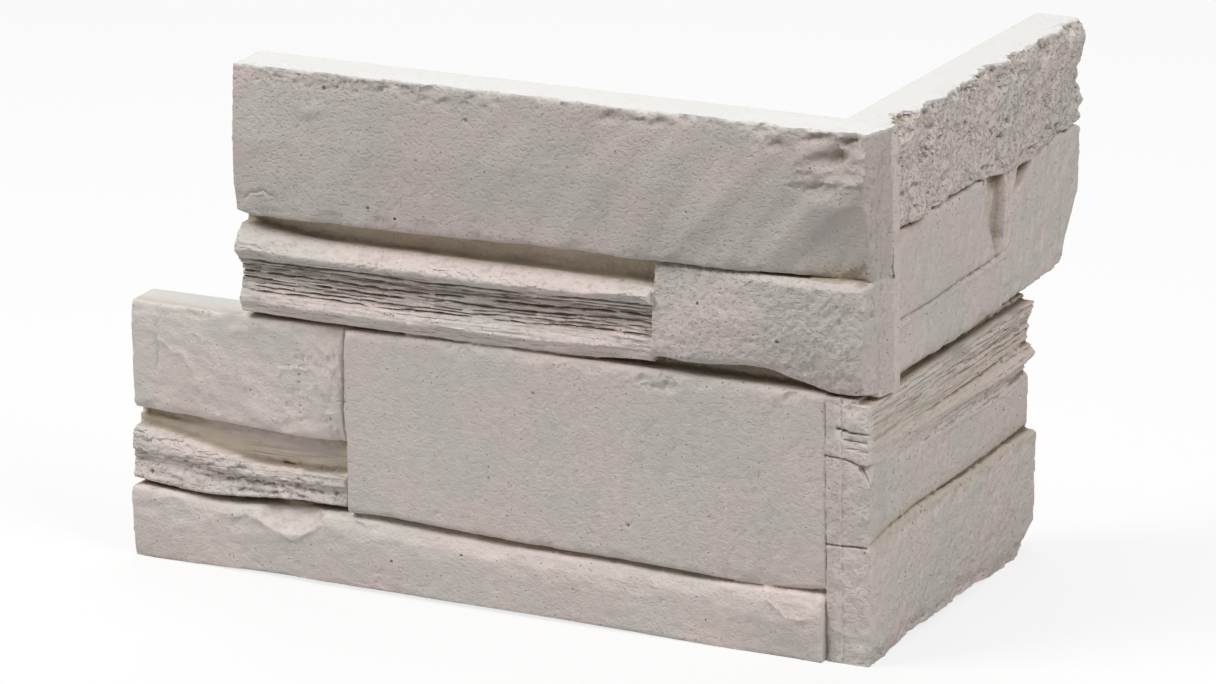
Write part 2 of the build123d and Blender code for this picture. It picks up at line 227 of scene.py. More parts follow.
def noise(places, size, seed):
    """Smooth noise from -1 to 1 at places in millimetres, with grains of a given size.

    The size is one length, or one for each axis where the grain is longer one way.
    """
    random = np.random.RandomState(seed)
    order = random.permutation(256)
    axes = places.shape[1]
    slopes = random.normal(size=(256, axes))
    slopes /= np.linalg.norm(slopes, axis=1)[:, None]
    spots = places / np.asarray(size, float)
    cells = np.floor(spots).astype(int)
    within = spots - cells
    fade = within ** 3 * (within * (within * 6 - 15) + 10)
    total = np.zeros(len(places))
    for corner in range(2 ** axes):
        step = np.array([corner >> axis & 1 for axis in range(axes)])
        picked = np.zeros(len(places), int)
        weight = np.ones(len(places))
        for axis in range(axes):
            picked = order[(picked + cells[:, axis] + step[axis]) & 255]
            weight *= fade[:, axis] if step[axis] else 1 - fade[:, axis]
        total += weight * np.einsum("ij,ij->i", slopes[picked], within - step)
    return np.clip(total * NOISE_GAIN, -1, 1)


def layered_noise(places, size, seed, layers=3):
    """Noise of several sizes, each half the last."""
    size = np.asarray(size, float)
    total = sum(noise(places, size / 2 ** i, seed + 31 * i) / 2 ** i for i in range(layers))
    return total / (2 - 2 ** (1 - layers))


def turned(places, degrees):
    """Places in axes turned by an angle."""
    angle = math.radians(degrees)
    run = places[:, 0] * math.cos(angle) + places[:, 1] * math.sin(angle)
    rise = places[:, 1] * math.cos(angle) - places[:, 0] * math.sin(angle)
    return np.column_stack([run, rise])


def shifted(places, size, amount, seed):
    """Places pushed about by noise, so that what is drawn there has uneven outlines."""
    pushes = [noise(places, size, seed + i) for i in (0, 1)]
    return places + amount * np.column_stack(pushes)


def border(line, run):
    """The height of a border at each run; a border is one height or a line of points."""
    if isinstance(line, (int, float)):
        return line
    return np.interp(run, *np.transpose(line))


def inside(places, left, right, low, high, soft=1.0):
    """1 between two runs and between two borders, 0 outside them, with a soft edge."""
    run, height = places.T
    low, high = border(low, run), border(high, run)
    across = smoothstep(left - soft / 2, left + soft / 2, run)
    across *= 1 - smoothstep(right - soft / 2, right + soft / 2, run)
    upright = smoothstep(low - soft / 2, low + soft / 2, height)
    upright *= 1 - smoothstep(high - soft / 2, high + soft / 2, height)
    return across * upright


def scoops(places, area, count, size, depth, seed, stretch=1.0, lean=0.0, tilt=0.0):
    """Shell-shaped hollows scattered over an area, as a depth at each place.

    The area is left, right, low and high; size and depth are a least and a most. Where
    hollows cross, the deeper one counts, so that a ridge is left between them. A stretch makes
    them longer along their lean, in degrees, and a tilt makes their upper wall the steeper.
    """
    random = np.random.RandomState(seed)
    left, right, low, high = area
    order = np.argsort(places[:, 0])
    sorted_run = places[order, 0]
    sorted_places = places[order]
    found = np.zeros(len(places))
    angle = math.radians(lean)
    for _ in range(count):
        spot = (random.uniform(left, right), random.uniform(low, high))
        share = random.uniform() ** 2
        radius = size[0] + (size[1] - size[0]) * share
        deep = depth[0] + (depth[1] - depth[0]) * share * random.uniform(0.6, 1.0)
        reach = radius * stretch
        first, last = np.searchsorted(sorted_run, (spot[0] - reach, spot[0] + reach))
        if first == last:
            continue
        run, rise = (sorted_places[first:last] - spot).T
        long = run * math.cos(angle) + rise * math.sin(angle)
        wide = rise * math.cos(angle) - run * math.sin(angle)
        bowl = np.maximum(1 - (long / reach) ** 2 - (wide / radius) ** 2, 0)
        bowl *= deep * (1 + tilt * wide / radius)
        found[first:last] = np.maximum(found[first:last], bowl)
    result = np.zeros(len(places))
    result[order] = found
    return result


def scoop(places, run, height, long, wide, depth, lean=0.0):
    """One hollow, or with a negative depth one swelling, at a measured place."""
    spots = turned(places - (run, height), lean)
    share = 1 - (spots[:, 0] / long) ** 2 - (spots[:, 1] / wide) ** 2
    return depth * np.maximum(share, 0)


def line_distance(places, line):
    """How far each place lies from a line of (run, height) points, above it positive."""
    best = np.full(len(places), 1e9)
    side = np.zeros(len(places))
    for (run0, rise0), (run1, rise1) in zip(line, line[1:]):
        along = np.array([run1 - run0, rise1 - rise0])
        rest = places - (run0, rise0)
        share = np.clip(rest @ along / (along @ along), 0, 1)
        gap = np.linalg.norm(rest - share[:, None] * along, axis=1)
        turn = along[0] * rest[:, 1] - along[1] * rest[:, 0]
        nearer = gap < best
        best[nearer] = gap[nearer]
        side[nearer] = np.sign(turn[nearer])
    return best * side


def groove(places, line, width, depth):
    """A groove along a line of (run, height) points."""
    return depth * (1 - smoothstep(0, width / 2, np.abs(line_distance(places, line))))


def fall(places, line, slope):
    """How deep a facet lies that falls away below a line of (run, height) points."""
    return slope * np.maximum(-line_distance(places, line), 0)


def layers(places, pitch, seed, length=45.0):
    """Thin layers that end in broken lips: 0 at a lip and 1 just above the next one below."""
    wavy = places[:, 1] + 0.9 * noise(places, (length, 9.0), seed)
    wavy += 0.25 * noise(places, (7.0, 3.0), seed + 1)
    return (wavy / pitch) % 1.0


def cracks(places, lines, seed):
    """Long cracks between thin layers, each given as its height, half width and depth."""
    run = places[:, :1]
    press = np.zeros(len(places))
    for index, (height, width, depth) in enumerate(lines):
        shift = seed + 5 * index
        middle = height + 0.5 * noise(run, 34, shift) + 0.2 * noise(run, 6, shift + 1)
        gap = width * (0.75 + 0.6 * noise(run, 8, shift + 2))
        open_share = smoothstep(-0.95, -0.05, noise(run, 26, shift + 3))
        away = np.abs(places[:, 1] - middle) / np.maximum(gap, 0.2)
        press = np.maximum(press, depth * open_share * (1 - smoothstep(0.3, 1.2, away)))
    return press


def wrinkles(places, size, seed, sharp=0.25):
    """Short broken creases, 1 along their middle, longer one way where the size says."""
    line = 1 - smoothstep(0, sharp, np.abs(noise(places, size, seed)))
    return line * smoothstep(-0.2, 0.3, noise(places, 2.5 * np.asarray(size), seed + 1))


def sandy(places, seed, amount=0.12):
    """The sandy unevenness that a cast face keeps everywhere."""
    grains = layered_noise(places, 2.2, seed, 2)
    return amount * (grains + 0.4 * wrinkles(places, (2.2, 1.9), seed + 5))


def pinholes(places, spots):
    """Air bubbles of the cast, each given as its run, height and radius."""
    return sum(
        scoop(places, run, height, radius, radius, BUBBLE_DEPTH * radius)
        for run, height, radius in spots
    )


def broken(places, clusters, seed):
    """Clusters of small sharp chips, each given as run, height, reach along and reach up."""
    press = np.zeros(len(places))
    for index, (run, height, long, tall) in enumerate(clusters):
        area = (run - long, run + long, height - tall, height + tall)
        count = int(3 + 0.35 * long * tall)
        press = np.maximum(press, scoops(
            places, area, count, (0.8, 3.0), (0.35, 1.5), seed + index, 1.7, 15, 0.7,
        ))
    return press


# Each carver gives how far each place of its stone is pressed in. The numbers in its calls are
# millimetres, degrees for a turn or a lean, and whole seeds, and scoops says in what order its
# own stand. The last number of a carver sets how far the whole face comes out again


def carve_top_block(places):
    """Plain and gently wavy, worn along its head, with a spall at its right end."""
    run = places[:, 0]
    right = smoothstep(-150, -60, run)
    press = 0.5 * layered_noise(places, (70, 45), 11)
    press += (0.25 + 1.2 * right) * noise(turned(places, 52), (52, 12.0), 12)
    press += (0.05 + 0.14 * right) * noise(turned(places, 52), (30, 4.5), 13)
    press += fall(places, [(-34, 145), (-27, 149), (-9, 170), (4, 179), (17, 184), (30, 186)], 0.16)
    bumpy = shifted(places, 3, 0.9, 14)
    press += scoops(bumpy, (-245, 21, 145, 202), 520, (0.5, 1.6), (0.08, 0.3), 15)
    strip = inside(places, -250, -168, 196, 200.8, 1.5)
    press += 0.4 * strip * wrinkles(bumpy, (2.2, 1.4), 16, 0.4)
    press += scoops(bumpy, (-245, -168, 195.5, 201), 190, (0.5, 1.1), (0.25, 0.6), 17, 1.3, 0, 0.5)
    press += broken(bumpy, BLOCK_BREAKS, 170)
    press += scoops(bumpy, (-245, 21, 200.6, 204), 80, (0.9, 2.8), (0.3, 1.2), 18, 1.5)
    flakes = scoops(bumpy, (-12, 16, 179, 190), 16, (1.6, 4.0), (0.6, 2.0), 19, 2.6, 12, 0.9)
    for run_spot, height, radius, depth in SPALL_LENSES:
        area = (run_spot, run_spot, height, height)
        lens = scoops(bumpy, area, 1, (radius, radius), (depth, depth), 190, 3.0, 10, 0.9)
        flakes = np.maximum(flakes, lens)
    corner = scoops(bumpy, (2, 20, 179, 200), 16, (2.0, 5.5), (0.6, 2.2), 20, 1.6, 55, 0.7)
    press += np.maximum(flakes, corner)
    press -= scoop(bumpy, -212, 187, 6.0, 3.8, 0.8, 20)
    shell = [(-241, 151), (-238.4, 153), (-233, 154.4), (-228.5, 152.8), (-225.5, 149.5)]
    press += groove(bumpy, shell, 1.6, 0.6)
    under = np.maximum(-line_distance(bumpy, shell), 0)
    press += 0.1 * inside(bumpy, -240, -225, 144, 154, 5) * under
    press += scoop(bumpy, -248, 147, 9, 5, 1.2, 35)
    press += scoops(bumpy, (-245, 21, 144, 147), 60, (1.0, 4.0), (0.3, 1.0), 21, 1.8)
    press += pinholes(places, BLOCK_PINHOLES)
    return press + sandy(places, 22) - 0.35


def carve_ledge(places):
    """Laminated: long cracks and broken lips between thin layers."""
    rise = LEDGE_RISE * smoothstep(-175, -75, places[:, 0])
    level = places - np.column_stack([np.zeros(len(places)), rise])
    press = 0.25 * layered_noise(places, (50, 20), 31)
    middle = inside(level, -250, -70, 113, 126.5, 1.5)
    press += middle * cracks(level, LEDGE_CRACKS, 320)
    press += middle * 0.5 * wrinkles(level, (34, 1.5), 33, 0.3)
    press += middle * 0.4 * layers(level, 3.1, 34)
    top = inside(level, -250, -70, 126, 141, 1.0)
    bumpy = shifted(places, 4, 1.2, 35)
    press += top * 0.55 * wrinkles(bumpy, (9, 2.0), 36, 0.3)
    press += top * scoops(bumpy, (-245, -70, 127, 139), 200, (0.9, 3.4), (0.15, 0.7), 37, 2.4, 0, 0.6)
    low = inside(level, -250, -70, 102, 113, 1.0)
    press += low * (0.4 * wrinkles(level, (26, 1.4), 38, 0.3) + 0.25 * layers(level, 4.5, 39))
    press += scoops(bumpy, (-245, -70, 102, 112), 130, (0.9, 3.2), (0.15, 0.7), 40, 2.2)
    lip = shifted(level, 3, 0.8, 41)
    press += scoops(lip, (-245, -70, 125, 128), 90, (0.8, 2.6), (0.3, 1.1), 42, 2.4)
    press += scoops(lip, (-245, -70, 112, 114.5), 60, (0.8, 2.4), (0.3, 0.9), 43, 2.4)
    return press + sandy(places, 44) - 0.45


def carve_rough_block(places):
    """Sandy and pecked, with slanting streaks towards the corner."""
    streaked = smoothstep(-35, 0, places[:, 0])
    press = 0.5 * layered_noise(places, (26, 18), 51, 2)
    bumpy = shifted(places, 2.0, 0.7, 52)
    press += scoops(bumpy, (-70, 21, 104, 145), 1700, (0.55, 1.35), (0.15, 0.5), 53, 1.4, 45, 0.3)
    press += (0.1 + 0.3 * streaked) * noise(turned(places, 48), (20, 2.6), 54)
    press += 0.2 * wrinkles(bumpy, (2.8, 1.9), 57, 0.35)
    press += scoops(bumpy, (-70, 21, 103, 112), 50, (1.5, 5.0), (0.4, 1.4), 55, 1.7)
    press += 1.1 * np.maximum(line_distance(bumpy, [(-80, 143.2), (40, 143.6)]), 0)
    press += 0.8 * np.maximum(line_distance(bumpy, [(9, 148), (14.5, 141), (17, 136), (26, 128)]), 0)
    press += pinholes(places, ROUGH_PINHOLES)
    return press + sandy(places, 56, 0.15) - 0.55


def carve_riven_block(places):
    """Riven: broad facets with soft ridges, and rough beside its right joint."""
    press = 0.8 * (1 - np.abs(noise(turned(places, -35), (34, 24), 61))) - 0.4
    bumpy = shifted(places, 5, 1.6, 62)
    press += fall(bumpy, [(-300, 88), (-283, 87), (-272, 83), (-266, 72), (-263, 60)], 0.05)
    press -= groove(bumpy, [(-283, 87), (-272, 83), (-266, 72), (-264, 66)], 3.2, 0.5)
    press += groove(bumpy, [(-284.5, 102), (-284, 88), (-285, 75)], 2.0, 0.5)
    for ridge in RIVEN_RIDGES:
        press -= groove(bumpy, ridge, 2.6, 0.5)
    press += scoops(bumpy, (-296, -201, 57, 102), 120, (1.0, 5.0), (0.1, 0.6), 63, 2.0, -30, 0.4)
    press += 0.12 * wrinkles(bumpy, (8, 2.6), 68)
    rough = inside(bumpy, -228, -203, 60, 97, 5)
    pecks = scoops(bumpy, (-228, -202, 60, 98), 90, (0.8, 3.0), (0.15, 0.6), 64, 1.5, 60, 0.5)
    press += rough * pecks
    press += 0.3 * rough * wrinkles(places, (2.4, 8), 69)
    press += pinholes(places, [(-222, 60 + 3.1 * step, 0.45) for step in range(12)])
    press += scoops(bumpy, (-296, -201, 56, 60), 50, (1.5, 4.0), (0.3, 1.1), 65, 1.8)
    press += scoops(bumpy, (-296, -201, 99.5, 103), 40, (1.2, 4.0), (0.3, 1.1), 66, 1.8)
    press += groove(places, [(-202.6, 104), (-203.2, 70), (-203, 56)], 1.6, 1.0)
    return press + sandy(places, 67) - 0.35


def carve_strip(places):
    """Thin, crumbly and layered, behind the riven block's foot."""
    fold = inside(places, -300, -208, 27, STRIP_HEAD, 1.5)
    upper = smoothstep(34, 40, places[:, 1] + 3 * noise(places, 14, 70))
    bumpy = shifted(places, 3, 1.0, 73)
    press = fold * (0.2 + 0.45 * upper) * wrinkles(bumpy, (6, 1.7), 71, 0.4)
    press += fold * (0.15 + 0.2 * upper) * layers(bumpy, 2.8, 72, 20)
    crumbs = scoops(bumpy, (-296, -206, 28, 52), 520, (0.6, 1.8), (0.15, 0.65), 74, 2.0, -10, 0.6)
    press += fold * crumbs
    press += 0.6 * layered_noise(places, (22, 7), 77)
    press += scoops(bumpy, (-250, -222, 31, 42), 70, (0.9, 2.8), (0.4, 1.5), 75, 1.6, 0, 0.8)
    press += pinholes(places, [(-288, 34.5, 0.9)])
    return press + sandy(places, 76, 0.16) - 0.9 * fold


def carve_centre_block(places):
    """Plain, with faint steep scratches in its right half."""
    run = places[:, 0]
    press = 0.4 * layered_noise(places, (60, 80), 81)
    press += 0.2 * smoothstep(-120, -80, run) * noise(turned(places, 75), (60, 8.0), 82)
    bumpy = shifted(places, 4, 1.2, 83)
    press += scoops(bumpy, (-200, 0, 28, 103), 520, (0.5, 1.5), (0.06, 0.25), 84)
    scratched = 0.1 + 0.14 * smoothstep(-150, -110, run)
    press += scratched * wrinkles(turned(bumpy, 72), (9, 2.0), 88)
    press += scoops(bumpy, (-200, 0, 101.5, 104), 70, (0.9, 3.6), (0.3, 1.1), 85, 2.0)
    press += broken(bumpy, CENTRE_BREAKS, 180)
    press += scoops(bumpy, (-200, 0, 27, 30), 45, (1.0, 3.0), (0.2, 0.7), 86, 1.8)
    press += pinholes(places, CENTRE_PINHOLES)
    return press + sandy(places, 87) - 0.15


def carve_foot_strip(places):
    """Plain, with shallow facets and two chips in its head."""
    press = 0.35 * layered_noise(places, (50, 20), 91)
    bumpy = shifted(places, 5, 1.2, 92)
    press += fall(bumpy, [(-300, 22), (-290, 21), (-276, 13), (-262, 5), (-255, -5)], 0.02)
    press += fall(bumpy, [(-185, 24), (-175, 21), (-160, 12), (-146, -5)], 0.03)
    press += scoops(bumpy, (-296, 0, 19, 28), 130, (1.2, 5.0), (0.2, 1.0), 93, 2.0, 0, 0.3)
    press += scoops(bumpy, (-296, 0, 0, 26), 420, (0.6, 2.2), (0.08, 0.35), 94, 1.3)
    for chip, depth, area in ((V_CHIP, 0.6, (-238, -215)), (RIGHT_CHIP, 1.6, (-23, -4))):
        above = np.maximum(line_distance(bumpy, chip), 0)
        press -= groove(bumpy, chip, 2.0, 0.35)
        press += depth * inside(bumpy, *area, 12, 29, 3) * np.minimum(above / 6, 1)
    away = (bumpy - FILL_MIDDLE) / FILL_REACH
    press -= FILL_DEPTH * np.exp(-(away ** 2).sum(axis=1))
    press += pinholes(places, FOOT_PINHOLES)
    return press + sandy(places, 95) - 0.3


def carve_column(places):
    """The ends of the short leg's stones, pecked, with their joints and the band's cracks."""
    step = COLUMN_STEP * inside(places, 0.4, COLUMN_STEP_END, BELOW, 110, 0.4)
    press = 0.4 * layered_noise(places, (12, 18), 101) - step
    bumpy = shifted(places, 3, 1.0, 102)
    press += scoops(bumpy, (-1, 19, 0, 101), 260, (0.7, 2.6), (0.15, 0.7), 103, 1.5, 70)
    press += groove(places, [(5, 90.6), (10, 89.4), (17, 89.4)], 1.5, 1.5)
    press += groove(places, [(8, 86.6), (17, 86.0)], 1.2, 1.0)
    press += groove(places, [(9, 83.4), (17, 82.8)], 1.1, 0.8)
    press += scoop(bumpy, 11, 99, 4.5, 3.0, 1.2)
    press += groove(places, [(-1, 79.5), (8, 79), (13, 77), (17.4, 70)], 1.4, 1.5)
    press += groove(places, [(-1, 45.2), (9, 45.6), (19, 45.8)], 1.3, 1.5)
    return press + sandy(places, 105) - 0.3


def carve_pitted(places):
    """Deeply pitted and crumbling, with a worn head."""
    clusters = smoothstep(-0.1, 0.4, noise(places, (19, 14), 110))
    worn = smoothstep(-0.35, 0.3, noise(places[:, :1], 19, 121))
    press = 1.5 * layered_noise(places, (24, 17), 111, 2)
    press += (
        1.7 * np.abs(noise(turned(places, 30), (13, 9), 123))
        + 0.9 * np.abs(noise(places, (5.5, 4.2), 119))
    )
    bumpy = shifted(places, 2.4, 1.0, 112)
    press += scoops(bumpy, (0, 175, 157, 204), 60, (2.5, 7.5), (0.5, 2.4), 113, 1.3, 35, 0.7)
    press += clusters * scoops(bumpy, (0, 175, 157, 204), 2200, (0.5, 1.1), (0.4, 1.5), 114, 1.2)
    press += (0.45 + 0.75 * clusters) * wrinkles(bumpy, (2.6, 1.9), 117, 0.35)
    press += 0.35 * layered_noise(places, (3.4, 2.4), 124, 2)
    press += worn * scoops(bumpy, (0, 175, 196, 205), 60, (2.5, 8.0), (0.8, 3.6), 115, 1.3)
    edge = scoops(bumpy, (0, 175, 198, 205), 130, (0.8, 2.4), (0.4, 1.7), 120, 1.4)
    press += (0.4 + 0.6 * worn) * edge
    press += scoops(bumpy, (0, 175, 156, 162), 80, (1.2, 4.0), (0.5, 2.2), 118, 1.5)
    return press + sandy(places, 116, 0.2) - 1.7


def carve_side_plain(places):
    """Plain, with steep scratches and a seam that opens away from the corner."""
    press = 0.5 * layered_noise(places, (35, 25), 121)
    bumpy = shifted(places, 3, 1.2, 122)
    press += scoops(bumpy, (-2, 100, 102, 160), 420, (0.5, 1.8), (0.12, 0.55), 123, 1.3, 70, 0.3)
    press += 0.25 * wrinkles(turned(bumpy, 70), (6, 2.2), 124)
    press += scoops(bumpy, (-2, 100, 101, 106), 60, (1.0, 3.6), (0.4, 1.3), 125, 1.7)
    seam = [(-2, 124.9), (25, 124.7), (50, 124.9), (75, 125.3), (99, 126.3)]
    press += groove(bumpy, seam, 1.6, 1.2) * smoothstep(45, 60, places[:, 0])
    under = -line_distance(places, seam)
    press += 0.7 * smoothstep(0, 3, under) * (1 - smoothstep(3, 14, under))
    return press + sandy(places, 126) - 0.4


def carve_side_rough(places):
    """Rougher, with steep streaks and a ridge beside its left joint."""
    press = 0.7 * layered_noise(places, (28, 24), 131)
    bumpy = shifted(places, 4, 1.4, 132)
    press += 0.35 * noise(turned(places, 76), (30, 5.0), 136)
    press += scoops(bumpy, (98, 175, 104, 160), 420, (0.6, 2.4), (0.15, 0.8), 133, 1.5, 70, 0.4)
    press += scoops(bumpy, (98, 175, 103, 112), 40, (1.2, 4.0), (0.3, 1.2), 134, 1.5)
    press -= groove(bumpy, [(101, 126), (104, 135), (106, 147), (107, 160)], 3.0, 1.0)
    return press + sandy(places, 135, 0.16) - 0.5


def carve_side_band(places):
    """Laminated, more openly so away from the corner."""
    spread = smoothstep(-20, 100, places[:, 0])
    upper = smoothstep(76, 86, places[:, 1])
    press = (0.15 + 0.5 * spread) * layers(places, 2.4, 141, 60)
    press += upper * (0.35 + 0.5 * spread) * wrinkles(places, (60, 1.7), 142, 0.35)
    press += upper * (0.3 + 0.5 * spread) * cracks(places, BAND_CRACKS, 146)
    bumpy = shifted(places, 3, 1.0, 143)
    press += scoops(bumpy, (-22, 133, 71, 101), 300, (0.7, 2.2), (0.1, 0.6), 144, 2.4)
    return press + sandy(places, 145) - 0.4


def carve_side_block(places):
    """Plain, with a few slanting tool marks."""
    press = 0.4 * layered_noise(places, (30, 20), 151)
    bumpy = shifted(places, 3, 1.2, 152)
    press += scoops(bumpy, (-22, 133, 46, 73), 320, (0.5, 1.8), (0.12, 0.6), 153, 1.3, 25)
    press += scoops(bumpy, (40, 60, 56, 68), 9, (0.7, 1.3), (0.5, 1.0), 156, 4.0, 58)
    press += 0.2 * wrinkles(turned(bumpy, 28), (5, 2.4), 154)
    return press + sandy(places, 155) - 0.35


def carve_side_foot(places):
    """Pecked all over, with chipped edges at its head and foot."""
    press = 0.6 * layered_noise(places, (30, 26), 161)
    bumpy = shifted(places, 4, 1.4, 162)
    press += scoops(bumpy, (-22, 133, 0, 48), 650, (0.5, 2.0), (0.12, 0.65), 163, 1.3, 50, 0.3)
    press += 0.25 * wrinkles(turned(bumpy, 60), (3.6, 2.4), 167)
    press += scoops(bumpy, (-22, 133, 0, 5), 60, (1.5, 5.0), (0.4, 1.6), 164, 1.5)
    press += scoops(bumpy, (-22, 133, 44.5, 49), 60, (1.2, 3.6), (0.3, 1.2), 165, 1.5)
    return press + sandy(places, 166, 0.16) - 0.5


def carve_block_end(places):
    """The upper course's own end face, beside the corner: upright streaks and a worn arris."""
    press = 0.6 * noise(places, (2.6, 30), 171) + 0.5 * wrinkles(places, (1.8, 14), 172, 0.4)
    bumpy = shifted(places, 3, 1.2, 173)
    press += scoops(bumpy, (-24, -17, 103, 203), 60, (0.8, 2.8), (0.2, 1.1), 174, 1.6, 80)
    press += groove(places, [(-0.2, 103), (-0.2, 203)], 1.0, 0.35)
    press += scoops(bumpy, (-22, 0, 103, 203), 160, (0.6, 1.8), (0.2, 0.8), 175, 1.8, 80)
    press += scoops(bumpy, (-22, 0, 198, 204), 16, (1.2, 3.0), (0.4, 1.4), 176)
    return press + sandy(places, 177, 0.16) - 0.2


# The two legs: the axes of their run and of their depth, the direction in which their stones
# stand out, the first and last run on which hollows are marked, the runs where the foot edge
# starts to lift, is lifted, starts to fall and is down again, with its lift, the stones, and
# the tables of the material's marks
LONG_LEG = SimpleNamespace(
    run_axis=0, out_axis=1, out_sign=-1, first=-295.5, last=15.0, foot=(-292, -220, -130, -20, 1.5),
    stones=(
        (TOP_BLOCK, carve_top_block), (LEDGE, carve_ledge), (ROUGH_BLOCK, carve_rough_block),
        (RIVEN_BLOCK, carve_riven_block), (STRIP, carve_strip),
        (CENTRE_BLOCK, carve_centre_block), (FOOT_STRIP, carve_foot_strip),
        (COLUMN, carve_column),
    ),
    layered=LONG_LAYERED, stained=LONG_STAINED, cream=(), painted_shades=LONG_PAINTED_SHADES, rough=LONG_ROUGH,
)
SHORT_LEG = SimpleNamespace(
    run_axis=1, out_axis=0, out_sign=1, first=-16.0, last=170.5, foot=(-14, 22, 70, 104, 2.2),
    stones=(
        (PITTED_STONE, carve_pitted), (SIDE_PLAIN, carve_side_plain),
        (SIDE_ROUGH, carve_side_rough), (BLOCK_END, carve_block_end), (BAND, carve_side_band),
        (SIDE_BLOCK, carve_side_block), (SIDE_FOOT, carve_side_foot),
    ),
    layered=SHORT_LAYERED, stained=SHORT_STAINED, cream=SHORT_CREAM, painted_shades=SHORT_PAINTED_SHADES,
    rough=SHORT_ROUGH,
)
LEGS = (LONG_LEG, SHORT_LEG)

# What the material reads at each point of the casting, from 0 to 1 or a little over
MARKS = ("recess", "pit", "layered", "stained", "painted_shade", "painted_flat_highlight", "rough")

# The relief starts at the first depth out from the wall, and is whole from the second on
HELD_DEPTH = 2.0
CARVED_DEPTH = 9.0


def leg_relief(places, stones):
    """A leg's relief: how far each place of its face is pressed in."""
    press = np.zeros(len(places))
    for area, carver in stones:
        mask = inside(places, *area, 0.8)
        near = np.nonzero(mask > 0.001)[0]
        press[near] += mask[near] * carver(places[near])
    return press


class STONE_PG_settings(bpy.types.PropertyGroup):
    """Sizes and colours of the cast stone."""

    grid: FloatProperty(
        name="Grid", description="Edge of the casting's surface grid",
        default=0.5 * MM, unit="LENGTH", subtype="DISTANCE",
    )
    triangles: IntProperty(
        name="Triangles", description="Most triangles of the finished casting",
        default=190000,
    )
    stone: FloatVectorProperty(
        name="Stone", description="Colour of the cast stone's faces",
        default=rgb("#EDE1DC"), size=3, subtype="COLOR",
    )
    cool: FloatVectorProperty(
        name="Cool stone", description="Colour of the stone where it drifts to a cooler grey",
        default=rgb("#E5E0DA"), size=3, subtype="COLOR",
    )
    # The white is a painted highlight: the flat head's neutral paleness under the lamps above, also
    # laid on the backs and ends
    white: FloatVectorProperty(
        name="White", description="Colour of the clean flat faces that the mould left",
        default=rgb("#E1E1DF"), size=3, subtype="COLOR",
    )
    # The cream is partly paste and partly painted shade, as it darkens every recess
    cream: FloatVectorProperty(
        name="Cream", description="Colour of the paste left in recesses",
        default=rgb("#CDC0A8"), size=3, subtype="COLOR",
    )
    dust: FloatVectorProperty(
        name="Dust", description="Colour of the dust in pits, cracks and air bubbles",
        default=rgb("#6B5D50"), size=3, subtype="COLOR",
    )


def active_alone(piece):
    """Leaves one object selected and active."""
    bpy.ops.object.select_all(action="DESELECT")
    piece.select_set(True)
    bpy.context.view_layer.objects.active = piece


def apply_modifier(piece, kind, **values):
    """Adds a modifier with its settings and applies it."""
    active_alone(piece)
    modifier = piece.modifiers.new(kind.title(), kind)
    for name, value in values.items():
        setattr(modifier, name, value)
    bpy.ops.object.modifier_apply(modifier=modifier.name)


def copy_of_node(name, new_name):
    """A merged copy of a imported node, as a piece of its own."""
    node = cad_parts[name]
    piece = node.copy()
    piece.data = node.data.copy()
    piece.name = piece.data.name = new_name
    piece.parent = None
    # The copy is a piece of its own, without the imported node's labels
    for key in list(piece.keys()):
        del piece[key]
    bpy.context.scene.collection.objects.link(piece)
    active_alone(piece)
    bpy.ops.object.mode_set(mode="EDIT")
    bpy.ops.mesh.select_all(action="SELECT")
    bpy.ops.mesh.remove_doubles(threshold=0.001 * MM)
    bpy.ops.object.mode_set(mode="OBJECT")
    return piece


def read_points(piece):
    points = np.empty(len(piece.data.vertices) * 3)
    piece.data.vertices.foreach_get("co", points)
    return points.reshape(-1, 3) / MM


def write_points(piece, points):
    piece.data.vertices.foreach_set("co", (points * MM).ravel())
    piece.data.update()


def keep_in_box(points):
    """Points in millimetres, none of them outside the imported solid's box."""
    low, high = np.array(CAD_BOX) / MM
    return np.clip(points, low, high)


def foot_lift(run, start, lifted, falling, end, height):
    """How much an uneven foot edge lifts off the floor between two ends."""
    return height * smoothstep(start, lifted, run) * (1 - smoothstep(falling, end, run))


def carve(piece):
    """Gives the casting its stones' relief, from the two sides that show."""
    points = read_points(piece)
    for leg in LEGS:
        out = points[:, leg.out_axis] * leg.out_sign
        near = np.nonzero(out > HELD_DEPTH)[0]
        places = points[near][:, (leg.run_axis, 2)]
        hold = smoothstep(HELD_DEPTH, CARVED_DEPTH, out[near])
        # Only the foot's front edge lifts, by less and less up to 7 mm above the floor
        lift = foot_lift(places[:, 0], *leg.foot) * smoothstep(10, 16, out[near])
        points[near, leg.out_axis] -= leg.out_sign * hold * leg_relief(places, leg.stones)
        points[near, 2] += lift * (1 - smoothstep(0, 7, places[:, 1]))
    write_points(piece, keep_in_box(points))


def box_sums(grid, reach, axis):
    """Sums over a window of cells along one axis."""
    padding = [(reach + 1, reach) if each == axis else (0, 0) for each in (0, 1)]
    sums = np.cumsum(np.pad(grid, padding), axis=axis)
    cells = np.arange(grid.shape[axis])
    return np.take(sums, cells + 2 * reach + 1, axis=axis) - np.take(sums, cells, axis=axis)


def local_mean(places, values, cell, reach):
    """The mean of the values round each place, within a reach in cells of a given size."""
    spots = np.floor((places - places.min(axis=0)) / cell).astype(int)
    rows, columns = spots.max(axis=0) + 1
    index = spots[:, 0] * columns + spots[:, 1]
    total = np.bincount(index, values, rows * columns).reshape(rows, columns)
    count = np.bincount(index, minlength=rows * columns).reshape(rows, columns).astype(float)
    for axis in (0, 1):
        total = box_sums(total, reach, axis)
        count = box_sums(count, reach, axis)
    return (total / np.maximum(count, 1)).ravel()[index]


def raise_marks(values, near, found):
    """Keeps the larger of the marks that stand there and those that are found."""
    values[near] = np.maximum(values[near], found)


